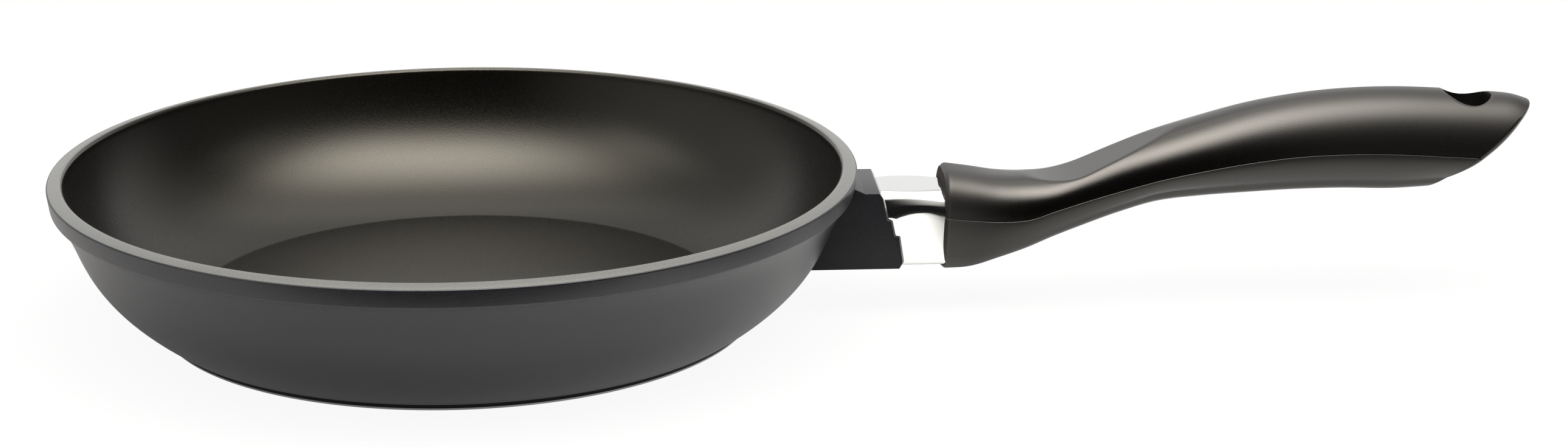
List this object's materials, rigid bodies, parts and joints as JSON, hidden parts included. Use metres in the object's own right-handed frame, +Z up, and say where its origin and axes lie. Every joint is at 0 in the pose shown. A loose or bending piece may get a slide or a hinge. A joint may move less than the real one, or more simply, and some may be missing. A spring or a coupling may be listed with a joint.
{
  "type": "frying pan",
  "caption": "Cast frying pan with a flared rim, a polished flame guard and a moulded handle that is screwed on and can hang by its tail.",
  "frame": {"origin": "centre of the base's underside, on the surface that the pan stands on", "axes": "+Z up, +X along the handle away from the bowl, +Y to the left of someone who looks along the handle from the bowl"},
  "size_m": [0.4466, 0.24, 0.0649],
  "materials": {
    "cast_body": "dark coated, finely grained",
    "polished_steel": "mirror polished",
    "moulded_handle": "soft matt with a fine grain",
    "insert_metal": "turned",
    "screw_steel": "zinc plated",
    "washer_steel": "zinc plated"
  },
  "bodies": {
    "root": {"pan_body": "cast_body", "flame_guard": "polished_steel", "handle": "moulded_handle", "thread_insert": "insert_metal", "handle_screw": "screw_steel", "spring_washer": "washer_steel", "flat_washer": "washer_steel"}
  },
  "joints": []
}
